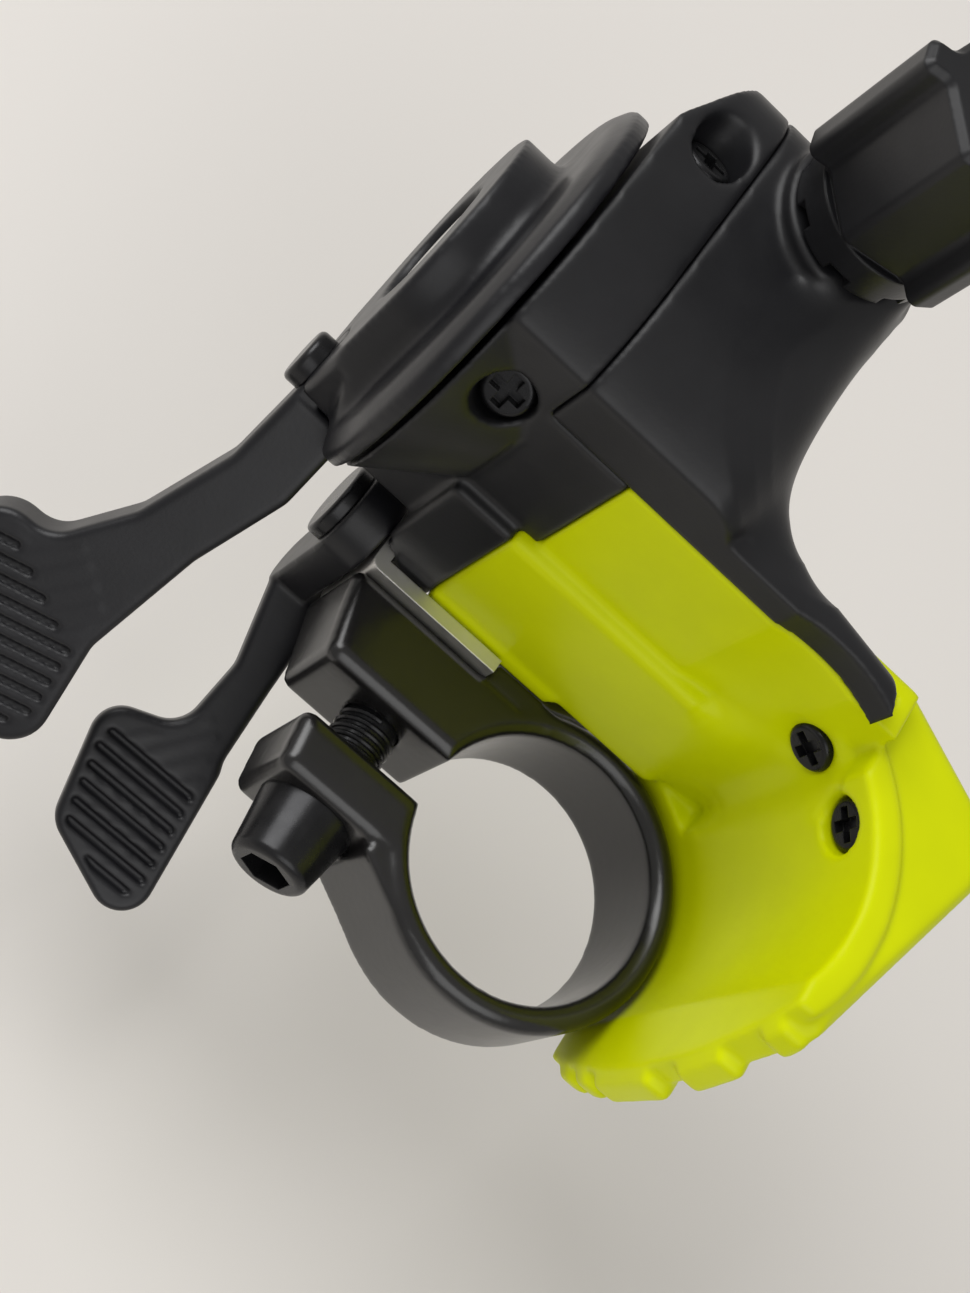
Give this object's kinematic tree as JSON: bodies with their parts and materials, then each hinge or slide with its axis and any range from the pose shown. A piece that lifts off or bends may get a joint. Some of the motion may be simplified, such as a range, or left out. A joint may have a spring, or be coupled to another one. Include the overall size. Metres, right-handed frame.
{
  "type": "trigger gear shifter",
  "caption": "Handlebar trigger gear shifter with a split bar clamp, thumb lever, release lever, barrel adjuster, gear window and an indexing ratchet inside.",
  "frame": {"origin": "centre of the handlebar clamp's bore", "axes": "+Z along the handlebar towards the stem, +X forward on the bicycle, +Y down"},
  "size_m": [0.0629, 0.0749, 0.0837],
  "materials": {
    "yellow_cover": "satin moulded",
    "black_housing": "fine matt grain",
    "black_lever": "fine matt grain",
    "black_adjuster": "satin",
    "black_alloy": "black satin",
    "black_steel": "black oxide",
    "plated_steel": "zinc plated",
    "spring_steel": "bright wire",
    "white_acetal": "natural",
    "clear_pane": "clear",
    "scale_plate": "matt",
    "pointer_plastic": "gloss",
    "ring_rubber": "plain"
  },
  "bodies": {
    "shifter_body": {"bar_clamp": "black_alloy", "clamp_bolt": "black_steel", "bracket_rivets": "plated_steel", "base_plate": "plated_steel", "main_housing": "black_housing", "bottom_cover": "black_housing", "top_cover": "yellow_cover", "cover_screws": "black_steel", "top_cover_screws": "black_steel", "indicator_window": "clear_pane", "indicator_scale": "scale_plate", "pivot_axle": "plated_steel", "axle_clip": "plated_steel", "thrust_washer": "plated_steel", "holding_pawl_pin": "plated_steel", "drum_spring": "spring_steel", "lever_spring": "spring_steel", "release_screw": "black_steel", "release_spring": "spring_steel", "adjuster_ring": "ring_rubber"},
    "thumb_lever": {"lever_hub": "black_lever", "thumb_lever": "black_lever", "lever_screw": "black_steel", "lever_carrier": "plated_steel", "drive_pawl_pin": "plated_steel"},
    "drive_pawl": {"drive_pawl": "plated_steel"},
    "release_lever": {"release_lever": "black_lever"},
    "cable_drum": {"cable_drum": "white_acetal", "ratchet_wheel": "plated_steel"},
    "indicator_slide": {"indicator_slide": "pointer_plastic"},
    "holding_pawl": {"holding_pawl": "plated_steel"},
    "barrel_adjuster": {"barrel_adjuster": "black_adjuster"}
  },
  "joints": [
    {"name": "thumb_lever_turn", "type": "hinge", "parent": "shifter_body", "child": "thumb_lever", "pos_m": [0.024, 0.03, 0.025], "axis": [0, -1, 0], "range_deg": [0, 44.91], "stiffness_Nm_per_rad": 0.4, "springref_deg": -28.65, "deforming": ["lever_spring"]},
    {"name": "drive_pawl_turn", "type": "hinge", "parent": "thumb_lever", "child": "drive_pawl", "pos_m": [0.03192, 0.024, 0.03374], "axis": [0, -1, 0], "range_deg": [0, 9]},
    {"name": "release_lever_turn", "type": "hinge", "parent": "shifter_body", "child": "release_lever", "pos_m": [0.0144, 0.028, 0.0035], "axis": [0, -1, 0], "range_deg": [0, 18], "stiffness_Nm_per_rad": 0.2, "springref_deg": -22.92, "deforming": ["release_spring"]},
    {"name": "cable_drum_turn", "type": "hinge", "parent": "shifter_body", "child": "cable_drum", "pos_m": [0.024, 0.018, 0.025], "axis": [0, -1, 0], "range_deg": [0, 134.72], "stiffness_Nm_per_rad": 0.01, "springref_deg": -57.3, "deforming": ["drum_spring"]},
    {"name": "indicator_slide_travel", "type": "slide", "parent": "shifter_body", "child": "indicator_slide", "axis": [0, 0, 1], "range_m": [-0.00666, 0]},
    {"name": "holding_pawl_turn", "type": "hinge", "parent": "shifter_body", "child": "holding_pawl", "pos_m": [0.03277, 0.024, 0.0171], "axis": [0, -1, 0], "range_deg": [0, 9]},
    {"name": "barrel_adjuster_turn", "type": "hinge", "parent": "shifter_body", "child": "barrel_adjuster", "pos_m": [0.0375, 0.0184, 0.05], "axis": [0, 0, 1], "continuous": true}
  ],
  "couplings": [
    {"joint": "indicator_slide_travel", "follows": "cable_drum_turn", "m_per_rad": -0.0028261}
  ]
}
